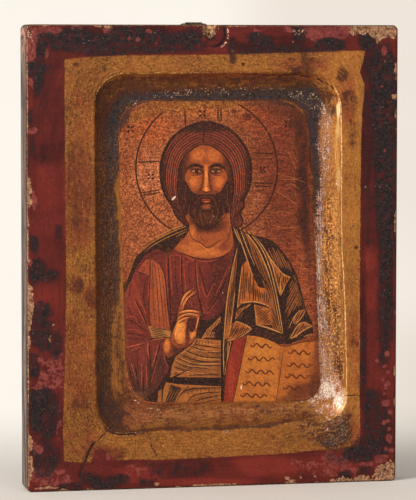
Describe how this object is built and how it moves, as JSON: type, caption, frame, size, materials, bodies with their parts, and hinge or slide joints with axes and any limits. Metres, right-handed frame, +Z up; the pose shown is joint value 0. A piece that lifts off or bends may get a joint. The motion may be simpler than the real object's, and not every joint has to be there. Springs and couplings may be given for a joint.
{
  "type": "panel icon",
  "caption": "Small painted wooden panel icon with a coved recess, a picture sheet, back battens and a hinged wall hanger.",
  "frame": {"origin": "middle of the bottom edge, half way through the panel's thickness", "axes": "+X to the right seen from the front, -Y towards the viewer, +Z up"},
  "size_m": [0.18, 0.021, 0.2213],
  "materials": {
    "panel_wood": "aged softwood, bare at the back, its sides dark with old paint and handling",
    "painted_ground": "chalk ground painted dark red, with a gilded band and cove, worn and burnt",
    "picture": "varnished picture on a glued sheet",
    "batten_wood": "aged hardwood, bare",
    "strap_metal": "dull brown brass sheet",
    "ring_wire": "steel wire with old rust",
    "nail_metal": "dull brass, domed heads"
  },
  "bodies": {
    "panel": {"board": "panel_wood", "chalk_ground": "painted_ground", "picture_sheet": "picture", "batten_lower": "batten_wood", "batten_upper": "batten_wood", "hanger_strap": "strap_metal", "hanger_nails": "nail_metal"},
    "ring": {"hanger_ring": "ring_wire"}
  },
  "joints": [
    {"name": "ring_hinge", "type": "hinge", "parent": "panel", "child": "ring", "pos_m": [-0.006, 0.01075, 0.2201], "axis": [1, 0, 0], "range_deg": [0, 252]}
  ]
}
